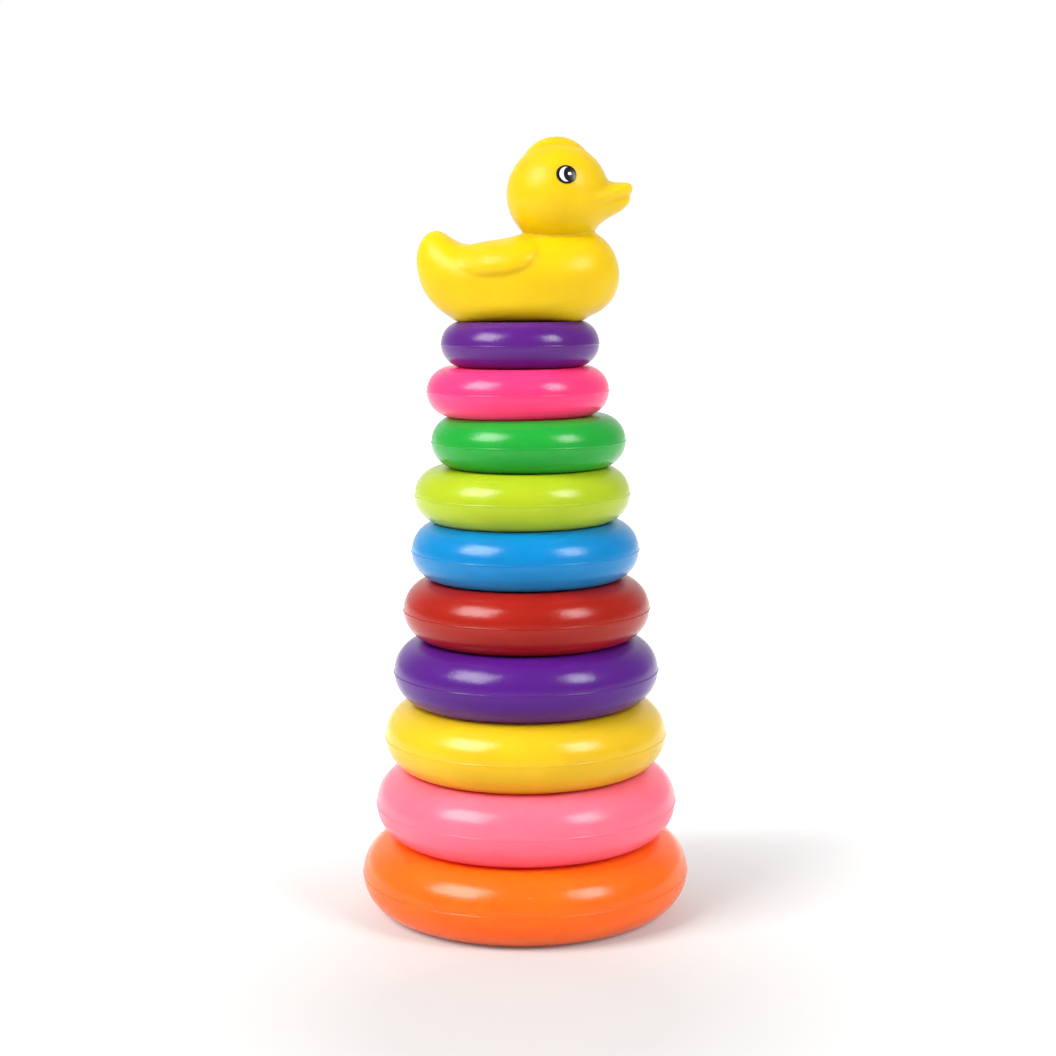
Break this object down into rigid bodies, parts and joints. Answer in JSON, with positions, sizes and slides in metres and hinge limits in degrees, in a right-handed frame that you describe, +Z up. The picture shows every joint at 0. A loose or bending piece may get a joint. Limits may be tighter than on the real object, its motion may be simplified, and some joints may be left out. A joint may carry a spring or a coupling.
{
  "type": "stacking ring toy",
  "caption": "Child's stacking toy: hollow plastic rings of graded size stacked loosely on a tapered post, with a moulded duck that lifts off the top.",
  "frame": {"origin": "on the post's axis at the surface that the toy stands on", "axes": "+Z up along the post; +X the way the duck looks; the duck's right side faces -Y"},
  "size_m": [0.13, 0.13, 0.3022],
  "materials": {
    "post_plastic": "plain white moulded plastic",
    "orange_plastic": "glossy blow-moulded plastic with faint orange peel",
    "light_pink_plastic": "glossy blow-moulded plastic with faint orange peel",
    "yellow_plastic": "glossy blow-moulded plastic with faint orange peel",
    "violet_plastic": "glossy blow-moulded plastic with faint orange peel",
    "red_plastic": "glossy blow-moulded plastic with faint orange peel",
    "blue_plastic": "glossy blow-moulded plastic with faint orange peel",
    "lime_plastic": "glossy blow-moulded plastic with faint orange peel",
    "green_plastic": "glossy blow-moulded plastic with faint orange peel",
    "hot_pink_plastic": "glossy blow-moulded plastic with faint orange peel",
    "purple_plastic": "glossy blow-moulded plastic with faint orange peel",
    "duck_plastic": "satin-gloss moulded plastic",
    "eye_print": "glossy black print with a pale crescent and a white dot"
  },
  "bodies": {
    "base": {"foot": "post_plastic", "post": "post_plastic"},
    "body_ring_1_orange": {"ring_1_orange": "orange_plastic"},
    "body_ring_2_light_pink": {"ring_2_light_pink": "light_pink_plastic"},
    "body_ring_3_yellow": {"ring_3_yellow": "yellow_plastic"},
    "body_ring_4_violet": {"ring_4_violet": "violet_plastic"},
    "body_ring_5_red": {"ring_5_red": "red_plastic"},
    "body_ring_6_blue": {"ring_6_blue": "blue_plastic"},
    "body_ring_7_lime": {"ring_7_lime": "lime_plastic"},
    "body_ring_8_green": {"ring_8_green": "green_plastic"},
    "body_ring_9_hot_pink": {"ring_9_hot_pink": "hot_pink_plastic"},
    "body_ring_10_purple": {"ring_10_purple": "purple_plastic"},
    "duck": {"duck_body": "duck_plastic", "eye_right": "eye_print", "eye_left": "eye_print"}
  },
  "joints": [
    {"name": "ring_1_orange_lift", "type": "slide", "parent": "base", "child": "body_ring_1_orange", "axis": [0, 0, 1], "range_m": [0, 0.254]},
    {"name": "ring_2_light_pink_lift", "type": "slide", "parent": "body_ring_1_orange", "child": "body_ring_2_light_pink", "axis": [0, 0, 1], "range_m": [0, 0.225]},
    {"name": "ring_3_yellow_lift", "type": "slide", "parent": "body_ring_2_light_pink", "child": "body_ring_3_yellow", "axis": [0, 0, 1], "range_m": [0, 0.198]},
    {"name": "ring_4_violet_lift", "type": "slide", "parent": "body_ring_3_yellow", "child": "body_ring_4_violet", "axis": [0, 0, 1], "range_m": [0, 0.171]},
    {"name": "ring_5_red_lift", "type": "slide", "parent": "body_ring_4_violet", "child": "body_ring_5_red", "axis": [0, 0, 1], "range_m": [0, 0.146]},
    {"name": "ring_6_blue_lift", "type": "slide", "parent": "body_ring_5_red", "child": "body_ring_6_blue", "axis": [0, 0, 1], "range_m": [0, 0.122]},
    {"name": "ring_7_lime_lift", "type": "slide", "parent": "body_ring_6_blue", "child": "body_ring_7_lime", "axis": [0, 0, 1], "range_m": [0, 0.1]},
    {"name": "ring_8_green_lift", "type": "slide", "parent": "body_ring_7_lime", "child": "body_ring_8_green", "axis": [0, 0, 1], "range_m": [0, 0.078]},
    {"name": "ring_9_hot_pink_lift", "type": "slide", "parent": "body_ring_8_green", "child": "body_ring_9_hot_pink", "axis": [0, 0, 1], "range_m": [0, 0.058]},
    {"name": "ring_10_purple_lift", "type": "slide", "parent": "body_ring_9_hot_pink", "child": "body_ring_10_purple", "axis": [0, 0, 1], "range_m": [0, 0.039]},
    {"name": "duck_lift", "type": "slide", "parent": "body_ring_10_purple", "child": "duck", "axis": [0, 0, 1], "range_m": [0, 0.022]}
  ]
}
